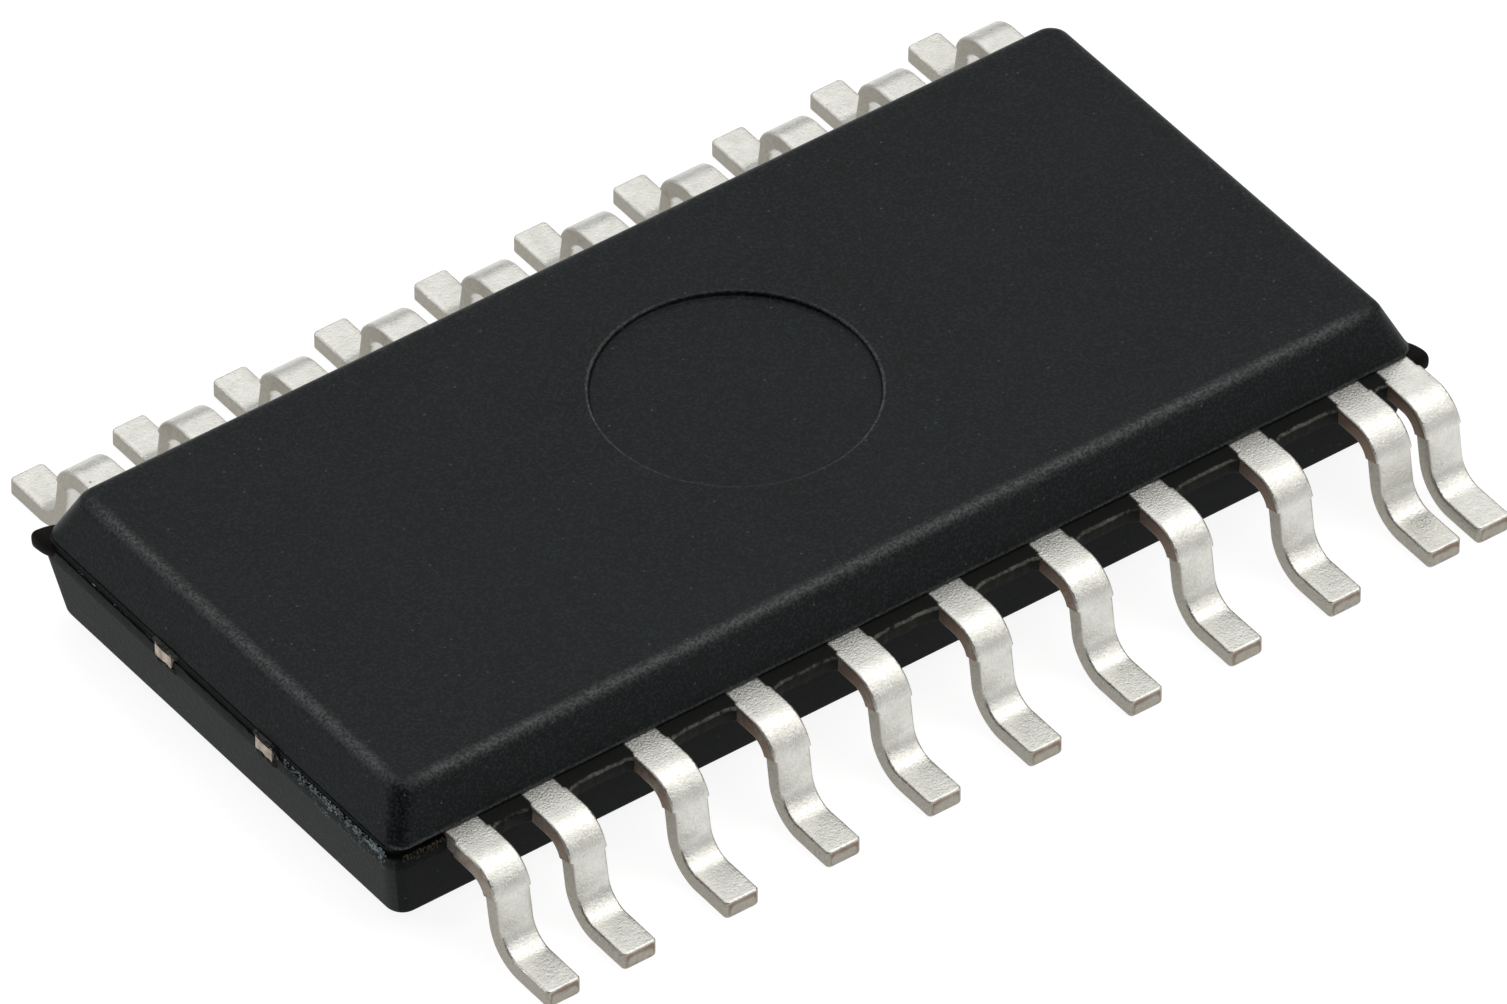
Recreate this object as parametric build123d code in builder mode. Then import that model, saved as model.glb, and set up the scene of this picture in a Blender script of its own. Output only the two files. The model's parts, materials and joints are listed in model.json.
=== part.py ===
from build123d import *
from math import radians, tan
import os

# Analog-to-digital converter chip in a small-outline surface-mount package.
# Millimetres. +X runs along the rows of leads, +Y towards the far row, +Z up.
# The origin is the middle of the footprint, on the plane that the soles of the leads rest on.

# Moulded body
body_length = 12.95
body_width = 6.15
upper_height = 0.58
lower_height = 0.81
upper_draft_inset = 0.25
lower_draft_inset = 0.15
parting_step = 0.03
body_corner_radius = 0.20
top_edge_radius = 0.14
bottom_edge_radius = 0.12

# Ejector-pin recess in the top face
recess_diameter = 3.00
recess_depth = 0.06
recess_x = 0.12
recess_y = 0.12
recess_edge_radius = 0.025

# Resin left at the parting line
nub_root_radius = 0.20
nub_tip_radius = 0.10
nub_reach = 0.16
web_reach_at_lead = 0.24
web_reach_mid_gap = 0.13

# Leadframe
leadframe_thickness = 0.21
lead_pitch = 1.27
lead_width = 0.42
front_regular_count = 9
front_first_regular_x = -4.67
front_outer_left_step = 0.94
front_outer_right_step = 0.63
back_count = 10
back_first_x = -5.45

# Gull-wing form, outward from the wall, along the top surface of the lead
shoulder_reach = 0.79
lead_reach = 1.70
lead_drop = 0.91
leg_lean = 9.0
shoulder_bend_radius = 0.42
heel_bend_radius = 0.30
toe_corner_cut = 0.03

# Stub of the trimmed dam bar on the shoulder
stub_extra = 0.03
stub_start = 0.13
stub_drop = 0.30

# Inner fingers
finger_straight = 0.45
finger_tip_width = 0.26
finger_tip_pitch = 0.58
finger_tip_gap = 0.22

# Die paddle and its tie bars
paddle_length = 6.60
paddle_width = 2.60
paddle_corner_radius = 0.15
tie_bar_width = 0.28
tie_bar_spacing = 1.74
tie_bar_proud = 0.02

# Chip and its glue
die_length = 4.20
die_width = 2.00
die_thickness = 0.22
attach_thickness = 0.03
attach_margin = 0.08

# Bond wires
wire_diameter = 0.04
wire_sides = 6
ball_diameter = 0.09
ball_sides = 8
ball_height = 0.04
pad_inset = 0.12
pad_pitch = 0.36
wire_rise = 0.10
wire_landing = 0.14
stitch_length = 0.12
stitch_width = 0.08
stitch_height = 0.05

leadframe_bottom = lead_drop
leadframe_top = leadframe_bottom + leadframe_thickness
body_bottom = leadframe_bottom - lower_height
body_top = leadframe_top + upper_height
die_bottom = leadframe_top + attach_thickness
die_top = die_bottom + die_thickness
finger_tip_y = paddle_width / 2 + finger_tip_gap

front_regular_xs = [front_first_regular_x + lead_pitch * k for k in range(front_regular_count)]
front_left_x = front_regular_xs[0] - front_outer_left_step
front_right_x = front_regular_xs[-1] + front_outer_right_step
front_xs = [front_left_x] + front_regular_xs + [front_right_x]
back_xs = [back_first_x + lead_pitch * k for k in range(back_count)]


def spread(count, pitch):
    """Places of a row of count things about the middle."""
    return [(k - (count - 1) / 2) * pitch for k in range(count)]


def row_plane(x, side):
    """Upright plane at x: its own x runs outward from the wall, its y runs up."""
    origin = (x, side * body_width / 2, leadframe_bottom)
    return Plane(origin=origin, x_dir=(0, side, 0), z_dir=(side, 0, 0))


def lead_profile():
    """Side profile of a lead outside the body: shoulder, leg and foot."""
    foot_top = leadframe_thickness - lead_drop
    heel_reach = shoulder_reach + lead_drop * tan(radians(leg_lean))
    turn_shift = leadframe_thickness * tan(radians((90 - leg_lean) / 2))
    with BuildSketch() as profile:
        with BuildLine():
            FilletPolyline(
                (0, leadframe_thickness),
                (shoulder_reach, leadframe_thickness),
                (heel_reach, foot_top),
                (lead_reach, foot_top),
                radius=[shoulder_bend_radius, heel_bend_radius],
            )
            Line((lead_reach, foot_top), (lead_reach, -lead_drop))
            FilletPolyline(
                (lead_reach, -lead_drop),
                (heel_reach - turn_shift, -lead_drop),
                (shoulder_reach - turn_shift, 0),
                (0, 0),
                radius=[
                    heel_bend_radius + leadframe_thickness,
                    shoulder_bend_radius - leadframe_thickness,
                ],
            )
            Line((0, 0), (0, leadframe_thickness))
        make_face()
    return profile.sketch


def make_lead(name, x, tip_x, side):
    """One lead: gull wing, stub of the dam bar and inner finger in one strip of metal."""
    wall_y = side * body_width / 2
    bend_y = side * (body_width / 2 - finger_straight)
    tip_y = side * finger_tip_y
    half = lead_width / 2
    tip_half = finger_tip_width / 2
    with BuildPart() as lead:
        with BuildSketch(row_plane(x, side)):
            add(lead_profile())
        extrude(amount=half, both=True)
        with BuildSketch(row_plane(x, side)):
            add(lead_profile())
            with Locations((stub_start, leadframe_thickness)):
                Rectangle(lead_reach, stub_drop, align=(Align.MIN, Align.MAX), mode=Mode.INTERSECT)
        extrude(amount=half + stub_extra, both=True)
        with BuildSketch(Plane.XY.offset(leadframe_bottom)):
            with BuildLine():
                Polyline(
                    (x - half, wall_y),
                    (x + half, wall_y),
                    (x + half, bend_y),
                    (tip_x + tip_half, tip_y),
                    (tip_x - tip_half, tip_y),
                    (x - half, bend_y),
                    close=True,
                )
            make_face()
        extrude(amount=leadframe_thickness)
        toe_face = lead.faces().filter_by(Axis.Y).sort_by(Axis.Y)[-1 if side > 0 else 0]
        chamfer(toe_face.edges().filter_by(Axis.Z), toe_corner_cut)
    lead.part.label = name
    return lead.part


def make_wire(name, pad_x, tip_x, side):
    """One bond wire: ball on the chip, loop, and stitch on the finger."""
    pad_y = side * (die_width / 2 - pad_inset)
    landing_y = side * (finger_tip_y + wire_landing)
    ball_top = die_top + ball_height
    crest = ball_top + wire_rise
    landing_z = leadframe_top + stitch_height / 2
    start = Vector(pad_x, pad_y, ball_top - ball_height / 2)
    rise = Vector(pad_x, pad_y, crest)
    end = Vector(tip_x, landing_y, landing_z)
    approach = Vector(
        (pad_x + 2 * tip_x) / 3, (pad_y + 2 * landing_y) / 3, (crest + leadframe_top) / 2 + wire_rise
    )
    with BuildPart() as wire:
        with BuildLine() as loop:
            Polyline(start, rise, approach, end)
        with BuildSketch(Plane(origin=start, z_dir=(0, 0, 1))):
            RegularPolygon(wire_diameter / 2, wire_sides)
        sweep(path=loop.wires()[0], transition=Transition.RIGHT)
        with BuildSketch(Plane.XY.offset(die_top)):
            with Locations((pad_x, pad_y)):
                RegularPolygon(ball_diameter / 2, ball_sides)
        extrude(amount=ball_height)
        with BuildSketch(Plane.XY.offset(leadframe_top)):
            with Locations((tip_x, landing_y)):
                Rectangle(stitch_width, stitch_length)
        extrude(amount=stitch_height)
    wire.part.label = name
    return wire.part


def corner_nub(sign_x):
    """Plan of the tongue of resin at a corner of the parting line, where y has the other sign."""
    outward = Vector(sign_x, -sign_x).normalized()
    corner = Vector(sign_x * body_length / 2, -sign_x * body_width / 2)
    corner = corner - outward * (body_corner_radius * (2**0.5 - 1))
    root = corner - outward * nub_root_radius / 2
    tip = corner + outward * (nub_reach - nub_tip_radius)
    with BuildSketch() as nub:
        with Locations(root):
            Circle(nub_root_radius)
        with Locations(tip):
            Circle(nub_tip_radius)
        make_hull()
    return nub.sketch


def row_webs(xs, side):
    """Plan of the resin webs of one row, hollowed by an arc between each lead and the next."""
    root_y = side * (body_width / 2 - body_corner_radius)
    lead_y = side * (body_width / 2 + web_reach_at_lead)
    mid_y = side * (body_width / 2 + web_reach_mid_gap)
    half = lead_width / 2
    with BuildSketch() as webs:
        for left, right in zip(xs[:-1], xs[1:]):
            with BuildLine():
                ThreePointArc((left + half, lead_y), ((left + right) / 2, mid_y), (right - half, lead_y))
                Polyline(
                    (right - half, lead_y),
                    (right, lead_y),
                    (right, root_y),
                    (left, root_y),
                    (left, lead_y),
                    (left + half, lead_y),
                )
            make_face()
    return webs.sketch


front_tips = spread(len(front_xs), finger_tip_pitch)
back_tips = spread(len(back_xs), finger_tip_pitch)
front_pads = spread(len(front_xs), pad_pitch)
back_pads = spread(len(back_xs), pad_pitch)

leads = []
wires = []
for k, (x, tip_x, pad_x) in enumerate(zip(front_xs, front_tips, front_pads), start=1):
    leads.append(make_lead(f"front_lead_{k:02d}", x, tip_x, -1))
    wires.append(make_wire(f"front_wire_{k:02d}", pad_x, tip_x, -1))
for k, (x, tip_x, pad_x) in enumerate(zip(back_xs, back_tips, back_pads), start=1):
    leads.append(make_lead(f"back_lead_{k:02d}", x, tip_x, 1))
    wires.append(make_wire(f"back_wire_{k:02d}", pad_x, tip_x, 1))

# Paddle of the leadframe, with the four tie bars that end in the end walls
with BuildPart() as die_paddle:
    with BuildSketch(Plane.XY.offset(leadframe_bottom)):
        RectangleRounded(paddle_length, paddle_width, paddle_corner_radius)
        with GridLocations(0, tie_bar_spacing, 1, 2):
            Rectangle(body_length + 2 * tie_bar_proud, tie_bar_width)
    extrude(amount=leadframe_thickness)
die_paddle.part.label = "die_paddle"

# Glue under the chip
with BuildPart() as die_attach:
    with BuildSketch(Plane.XY.offset(leadframe_top)):
        RectangleRounded(die_length + 2 * attach_margin, die_width + 2 * attach_margin, attach_margin)
    extrude(amount=attach_thickness)
die_attach.part.label = "die_attach"

# Silicon chip
with BuildPart() as silicon_die:
    with BuildSketch(Plane.XY.offset(die_bottom)):
        Rectangle(die_length, die_width)
    extrude(amount=die_thickness)
silicon_die.part.label = "silicon_die"

# Moulded body: lower half up to the top of the leadframe, then the drafted upper half
upper_length = body_length - 2 * parting_step
upper_width = body_width - 2 * parting_step
with BuildPart() as moulded_body:
    with BuildSketch(Plane.XY.offset(body_bottom)):
        RectangleRounded(
            body_length - 2 * lower_draft_inset, body_width - 2 * lower_draft_inset, body_corner_radius
        )
    with BuildSketch(Plane.XY.offset(leadframe_bottom)):
        RectangleRounded(body_length, body_width, body_corner_radius)
    loft()
    with BuildSketch(Plane.XY.offset(leadframe_top)):
        RectangleRounded(upper_length, upper_width, body_corner_radius)
    with BuildSketch(Plane.XY.offset(body_top)):
        RectangleRounded(
            upper_length - 2 * upper_draft_inset, upper_width - 2 * upper_draft_inset, body_corner_radius
        )
    loft()
    with BuildSketch(Plane.XY.offset(leadframe_bottom)):
        RectangleRounded(body_length, body_width, body_corner_radius)
    extrude(amount=leadframe_thickness)
    fillet(moulded_body.edges().group_by(Axis.Z)[-1], top_edge_radius)
    fillet(moulded_body.edges().group_by(Axis.Z)[0], bottom_edge_radius)
    with BuildSketch(Plane.XY.offset(body_top)):
        with Locations((recess_x, recess_y)):
            Circle(recess_diameter / 2)
    extrude(amount=-recess_depth, mode=Mode.SUBTRACT)
    fillet(moulded_body.edges().filter_by(GeomType.CIRCLE).group_by(Axis.Z)[-1], recess_edge_radius)
    with BuildSketch(Plane.XY.offset(leadframe_bottom)):
        add(corner_nub(1))
        add(corner_nub(-1))
        add(row_webs(front_xs, -1))
        add(row_webs(back_xs, 1))
    extrude(amount=leadframe_thickness)
    add(leads + wires + [die_paddle.part, die_attach.part, silicon_die.part], mode=Mode.SUBTRACT)
moulded_body.part.label = "moulded_body"

os.makedirs("parts", exist_ok=True)
for piece in leads + wires:
    export_step(piece, f"parts/{piece.label}.step")
export_step(moulded_body.part, "parts/moulded_body.step")
export_step(die_paddle.part, "parts/die_paddle.step")
export_step(die_attach.part, "parts/die_attach.step")
export_step(silicon_die.part, "parts/silicon_die.step")
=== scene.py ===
"""Looks of an analog-to-digital converter chip in a small-outline package.

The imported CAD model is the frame. Each sub-assembly of the real chip is a class: the moulded
body with its parting line, the resin webs, the gull-wing leads and what is sealed inside.
Sizes are in millimetres until a mesh is made, and metres from then on.
"""

import json
import logging
import math
import random
from dataclasses import dataclass, field
from enum import Enum
from typing import Any, NamedTuple, Sequence

import bpy
from mathutils import Matrix, Vector, noise


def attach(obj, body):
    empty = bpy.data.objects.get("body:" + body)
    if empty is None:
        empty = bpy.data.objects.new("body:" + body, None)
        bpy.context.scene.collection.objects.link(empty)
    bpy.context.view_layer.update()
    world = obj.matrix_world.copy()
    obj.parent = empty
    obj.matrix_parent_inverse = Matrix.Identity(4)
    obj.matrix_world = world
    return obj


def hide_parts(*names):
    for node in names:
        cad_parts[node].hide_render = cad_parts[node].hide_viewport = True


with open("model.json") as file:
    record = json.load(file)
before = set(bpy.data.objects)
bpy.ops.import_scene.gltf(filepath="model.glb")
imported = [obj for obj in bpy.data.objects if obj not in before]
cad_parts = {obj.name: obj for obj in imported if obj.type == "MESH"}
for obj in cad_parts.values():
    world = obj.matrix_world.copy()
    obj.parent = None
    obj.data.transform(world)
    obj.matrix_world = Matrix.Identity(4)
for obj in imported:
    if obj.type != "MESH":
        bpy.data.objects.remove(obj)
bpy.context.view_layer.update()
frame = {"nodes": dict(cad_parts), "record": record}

MM = 0.001
ROOT = "root"
LOG = logging.getLogger("chip")
# The two ends of the body, by the sign of their X
ENDS = {"left": -1, "right": 1}
# Colour sockets of a Mix node, whose names its number sockets have too
MIX_A, MIX_B, MIX_RESULT = 6, 7, 2
# Sockets of the noise and range nodes, in the order in which the finishes give their values
NOISE = ("Vector", "Scale", "Detail", "Roughness")
RANGE = ("Value", "From Min", "From Max", "To Min", "To Max")

Point2 = tuple[float, float]
Point3 = tuple[float, float, float]
Face = tuple[int, ...]
Material = bpy.types.Material
Piece = bpy.types.Object
Tree = bpy.types.NodeTree
Socket = bpy.types.NodeSocket


class Slot(Enum):
    """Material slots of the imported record."""

    EPOXY = "epoxy"
    TINNED_LEAD = "tinned_lead"
    LEADFRAME = "leadframe"
    DIE_ATTACH = "die_attach"
    SILICON = "silicon"
    BOND_WIRE = "bond_wire"


class Row(Enum):
    """The two rows of leads, by the sign of their Y."""

    FRONT = -1
    BACK = 1

    @property
    def prefix(self) -> str:
        """Start of the names of this row's leads."""
        return "front_lead_" if self is Row.FRONT else "back_lead_"


# Helpers for nodes, meshes and outlines


def linear(hex_colour: str) -> tuple[float, float, float, float]:
    """Turn an sRGB hex colour into the linear colour that shaders take.

    Args:
        hex_colour: Colour such as "#c8c8c2".

    Returns:
        Linear red, green, blue and an alpha of 1.
    """
    channels = [int(hex_colour[k:k + 2], 16) / 255 for k in (1, 3, 5)]
    shades = [c / 12.92 if c <= 0.04045 else ((c + 0.055) / 1.055) ** 2.4 for c in channels]
    return shades[0], shades[1], shades[2], 1.0


def add_node(tree: Tree, kind: str, inputs: dict[Any, Any], **settings: Any) -> Any:
    """Add one shader node, with its settings, its constant inputs and its links.

    Args:
        tree: Node tree that takes the node.
        kind: Blender's identifier of the node, without "ShaderNode" before it.
        inputs: Input sockets by name or index, each with a constant or a socket to link from.
        settings: Attributes of the node by name.

    Returns:
        The outputs of the new node.
    """
    node = tree.nodes.new("ShaderNode" + kind)
    for name, value in settings.items():
        setattr(node, name, value)
    for key, value in inputs.items():
        if isinstance(value, Socket):
            tree.links.new(value, node.inputs[key])
        else:
            node.inputs[key].default_value = value
    return node.outputs


def mesh_piece(
    name: str,
    points: Sequence[Point3],
    faces: Sequence[Face],
    material: Material,
    sharp_degrees: float = 40.0,
) -> Piece:
    """Make a smooth-shaded mesh object from points in millimetres.

    Args:
        name: Name of the piece.
        points: Corners in millimetres, in the frame of the part.
        faces: Corner numbers of each face, seen anticlockwise from outside.
        material: Finish of the piece.
        sharp_degrees: Edges that turn more than this stay sharp.

    Returns:
        The new object, linked to the scene.
    """
    mesh = bpy.data.meshes.new(name)
    mesh.from_pydata([(x * MM, y * MM, z * MM) for x, y, z in points], [], faces)
    mesh.validate()
    mesh.shade_smooth()
    mesh.set_sharp_from_angle(angle=math.radians(sharp_degrees))
    mesh.materials.append(material)
    piece = bpy.data.objects.new(name, mesh)
    bpy.context.scene.collection.objects.link(piece)
    return piece


def store(piece: Piece, name: str, values: Sequence[float]) -> None:
    """Keep one number for each point of a mesh, which its finish reads by name."""
    piece.data.attributes.new(name, "FLOAT", "POINT").data.foreach_set("value", values)


def seat(piece: Piece, slot: Slot, nodes: Sequence[str] = ()) -> Piece:
    """Let a piece ride on the body, log its slot and hide the CAD nodes that it stands for.

    Args:
        piece: The finished piece.
        slot: Material slot of the record that it takes its finish from.
        nodes: CAD nodes that it replaces.

    Returns:
        The same piece.
    """
    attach(piece, ROOT)
    if nodes:
        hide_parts(*nodes)
    LOG.info("%s: %d faces, slot %s", piece.name, len(piece.data.polygons), slot.value)
    return piece


def between(start: Sequence[float], end: Sequence[float], share: float) -> tuple[float, ...]:
    """Point at a share of the way from one point to another."""
    return tuple(a + (b - a) * share for a, b in zip(start, end))


def tube_faces(ring_count: int, ring_size: int, first: int = 0) -> list[Face]:
    """Faces of a closed tube of rings that follow each other in the list of points.

    Args:
        ring_count: Number of rings.
        ring_size: Points in each ring.
        first: Number of the first ring's first point.

    Returns:
        Quads and both end caps, turned outwards where the rings run anticlockwise and rise.
    """
    end = first + ring_count * ring_size
    faces: list[Face] = []
    for low in range(first, end - ring_size, ring_size):
        high = low + ring_size
        for k in range(ring_size):
            after = (k + 1) % ring_size
            faces.append((low + k, low + after, high + after, high + k))
    return [*faces, tuple(range(first, first + ring_size))[::-1], tuple(range(end - ring_size, end))]


def rounded_path(corners: Sequence[Point2], radii: Sequence[float], steps: int) -> list[Point2]:
    """Replace the inner corners of a path by arcs.

    Args:
        corners: Corners of the path, ends included.
        radii: Radius at each inner corner; zero keeps it sharp.
        steps: Points on each arc, less one.

    Returns:
        Points of the rounded path.
    """
    path: list[Point2] = [corners[0]]
    for before, corner, after, radius in zip(corners, corners[1:], corners[2:], radii):
        if radius <= 0:
            path.append(corner)
            continue
        here = Vector(corner)
        back = (Vector(before) - here).normalized()
        ahead = (Vector(after) - here).normalized()
        half_angle = back.angle(ahead) / 2
        reach = radius / math.tan(half_angle)
        centre = here + (back + ahead).normalized() * (radius / math.sin(half_angle))
        start = here + back * reach - centre
        end = here + ahead * reach - centre
        turn = start.angle(end)
        for k in range(steps + 1):
            blend = k / steps
            along = start * math.sin((1 - blend) * turn) + end * math.sin(blend * turn)
            point = centre + along / math.sin(turn)
            path.append((point.x, point.y))
    path.append(corners[-1])
    return path


def rounded_rectangle(
    half_x: float, half_y: float, radius: float, arc_steps: int, run_steps: tuple[int, int]
) -> list[Point3]:
    """Rounded rectangle about the middle, anticlockwise from its right-hand side.

    Args:
        half_x: Half of its length along X.
        half_y: Half of its length along Y.
        radius: Radius of its corners.
        arc_steps: Steps on each corner.
        run_steps: Steps on each run along X, and on each run along Y.

    Returns:
        Places along X and Y, with 1 where the edge faces along X and 0 where it faces along Y.
    """
    arcs: list[list[Any]] = []
    for corner, (sign_x, sign_y) in enumerate(((1, 1), (-1, 1), (-1, -1), (1, -1))):
        arcs.append([])
        for k in range(arc_steps + 1):
            angle = math.radians(90 * corner + 90 * k / arc_steps)
            x = sign_x * (half_x - radius) + radius * math.cos(angle)
            y = sign_y * (half_y - radius) + radius * math.sin(angle)
            arcs[corner].append((x, y, math.cos(angle) ** 2))
    points: list[Point3] = []
    for corner, arc in enumerate(arcs):
        next_start = arcs[(corner + 1) % 4][0]
        steps = run_steps[corner % 2]
        points += arc + [between(arc[-1], next_start, k / steps) for k in range(1, steps)]
    return points


def grain(x: float, y: float, z: float, size: float, seed: float = 0.0) -> float:
    """Smooth noise from -1 to 1 at a place, with lumps of a size and a pattern of a seed."""
    return noise.noise(Vector((x / size + seed, y / size, z / size)))


# Finishes


@dataclass(frozen=True)
class Finish:
    """A real material and how its surface was made."""

    name: str

    def new_material(self) -> tuple[Material, Tree, Socket]:
        """Start a material.

        Returns:
            The material, its node tree, and the place on the surface in millimetres.
        """
        material = bpy.data.materials.new(self.name)
        material.use_nodes = True
        tree = material.node_tree
        tree.nodes.clear()
        place = add_node(tree, "TexCoord", {})["Object"]
        scaled = add_node(tree, "Mapping", {"Vector": place, "Scale": (1 / MM, 1 / MM, 1 / MM)})
        return material, tree, scaled["Vector"]

    def close(
        self,
        tree: Tree,
        colour: Any,
        layers: Sequence[tuple[Any, Any]],
        bump: Sequence[Any],
        inputs: dict[str, Any],
    ) -> None:
        """Lay the colours over each other, and add the bump, the shader and the output.

        Args:
            tree: Node tree of the material.
            colour: The lowest colour.
            layers: The amount and the colour of each layer above it.
            bump: Height, strength and depth in millimetres, or nothing.
            inputs: The shader's other constants and sockets.
        """
        for amount, above in layers:
            mix = {"Factor": amount, MIX_A: colour, MIX_B: above}
            colour = add_node(tree, "Mix", mix, data_type="RGBA")[MIX_RESULT]
        inputs = {"Base Color": colour, **inputs}
        if bump:
            height, strength, depth = bump
            relief = {"Height": height, "Strength": strength, "Distance": depth * MM}
            inputs["Normal"] = add_node(tree, "Bump", relief)["Normal"]
        shader = add_node(tree, "BsdfPrincipled", inputs)
        add_node(tree, "OutputMaterial", {"Surface": shader["BSDF"]})

    def build(self) -> Material:
        """Build the material. Each finish has its own way."""
        raise NotImplementedError


@dataclass(frozen=True)
class MouldedEpoxy(Finish):
    """Black epoxy filled with silica, pressed into a spark-eroded mould.

    The mould leaves an even satin grain, and filler near the skin shows as sparse light specks.
    """

    colour: str = "#07090a"
    cloud_colour: str = "#0c0f10"
    pale_grain: str = "#22282a"
    # Colour of the painted highlight on the top edges, the front lip and the recess rim
    painted_highlight_colour: str = "#555757"
    speck_colour: str = "#42494b"
    # Spark erosion leaves pits of about 0.01 mm, drawn coarser here so that they show
    fine_grain: float = 0.03
    coarse_grain: float = 0.09
    cloud_size: float = 1.6
    # Nearly one cell in five holds a grain of filler, about 0.02 mm across
    speck_size: float = 0.12
    speck_rarity: float = 0.82
    grain_height: float = 0.006
    roughness: float = 0.43
    ior: float = 1.55
    # The eroded grain shades itself, so it shines less than smooth epoxy
    sheen: float = 0.108

    def build(self) -> Material:
        """Build the epoxy, with a painted highlight where the mesh's edge attribute is high.

        Returns:
            The material.
        """
        material, tree, place = self.new_material()
        clouds, fine, coarse = (
            add_node(tree, "TexNoise", dict(zip(NOISE, (place, 1 / size, detail, rough))))["Fac"]
            for size, detail, rough in (
                (self.cloud_size, 4.0, 0.6),
                (self.fine_grain, 2.0, 0.55),
                (self.coarse_grain, 2.0, 0.5),
            )
        )
        cells = add_node(tree, "TexVoronoi", {"Vector": place, "Scale": 1 / self.speck_size})
        cloud_amount, grain_amount, highlight_mottle, rough, speck = (
            add_node(tree, "MapRange", dict(zip(RANGE, values)))["Result"]
            for values in (
                (clouds, 0.38, 0.66),
                (fine, 0.45, 0.7),
                (fine, 0.35, 0.65, 0.15, 0.85),
                (fine, 0.3, 0.7, self.roughness - 0.08, self.roughness + 0.1),
                (cells["Distance"], 0.13, 0.06),
            )
        )
        chance = add_node(tree, "SeparateColor", {"Color": cells["Color"]})["Red"]
        rare = add_node(tree, "Math", {0: chance, 1: self.speck_rarity}, operation="GREATER_THAN")["Value"]
        speck_amount = add_node(tree, "Math", {0: speck, 1: rare}, operation="MULTIPLY")["Value"]
        # Painted highlight: the edge attribute says where, the fine grain mottles it
        edge = add_node(tree, "Attribute", {}, attribute_name="edge")["Fac"]
        highlight_amount = add_node(tree, "Math", {0: edge, 1: highlight_mottle}, operation="MULTIPLY")["Value"]
        layers = (
            (cloud_amount, linear(self.cloud_colour)),
            (grain_amount, linear(self.pale_grain)),
            (highlight_amount, linear(self.painted_highlight_colour)),
            (speck_amount, linear(self.speck_colour)),
        )
        height = add_node(tree, "Math", {0: coarse, 1: 0.8, 2: fine}, operation="MULTIPLY_ADD")["Value"]
        gloss = {"Roughness": rough, "IOR": self.ior, "Specular IOR Level": self.sheen}
        self.close(tree, linear(self.colour), layers, (height, 0.7, self.grain_height), gloss)
        return material


@dataclass(frozen=True)
class FlashResin(Finish):
    """Thin resin squeezed out between the mould halves, broken off after moulding.

    Its torn edges show as a broken grey line, partly paler broken resin and partly a painted highlight, and
    its skin is browner than the body.
    """

    colour: str = "#080807"
    # Torn edges: paler broken resin together with a painted highlight
    torn_colour: str = "#50514b"
    grit: float = 0.05
    patch: float = 0.35
    grit_height: float = 0.015
    roughness: float = 0.7
    ior: float = 1.55
    # Torn resin shades itself even more than the eroded skin
    sheen: float = 0.06

    def build(self) -> Material:
        """Build the flash, greyer where the mesh's torn attribute is high.

        Returns:
            The material.
        """
        material, tree, place = self.new_material()
        fine, patches = (
            add_node(tree, "TexNoise", dict(zip(NOISE, (place, 1 / size, 3.0, rough))))["Fac"]
            for size, rough in ((self.grit, 0.65), (self.patch, 0.6))
        )
        torn = add_node(tree, "Attribute", {}, attribute_name="torn")["Fac"]
        broken = add_node(tree, "Math", {0: torn, 1: patches}, operation="MULTIPLY")["Value"]
        gritty = add_node(tree, "Math", {0: broken, 1: fine}, operation="MULTIPLY")["Value"]
        amount = add_node(tree, "MapRange", dict(zip(RANGE, (gritty, 0.14, 0.36))))["Result"]
        layers = [(amount, linear(self.torn_colour))]
        gloss = {"Roughness": self.roughness, "IOR": self.ior, "Specular IOR Level": self.sheen}
        self.close(tree, linear(self.colour), layers, (fine, 0.8, self.grit_height), gloss)
        return material


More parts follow.
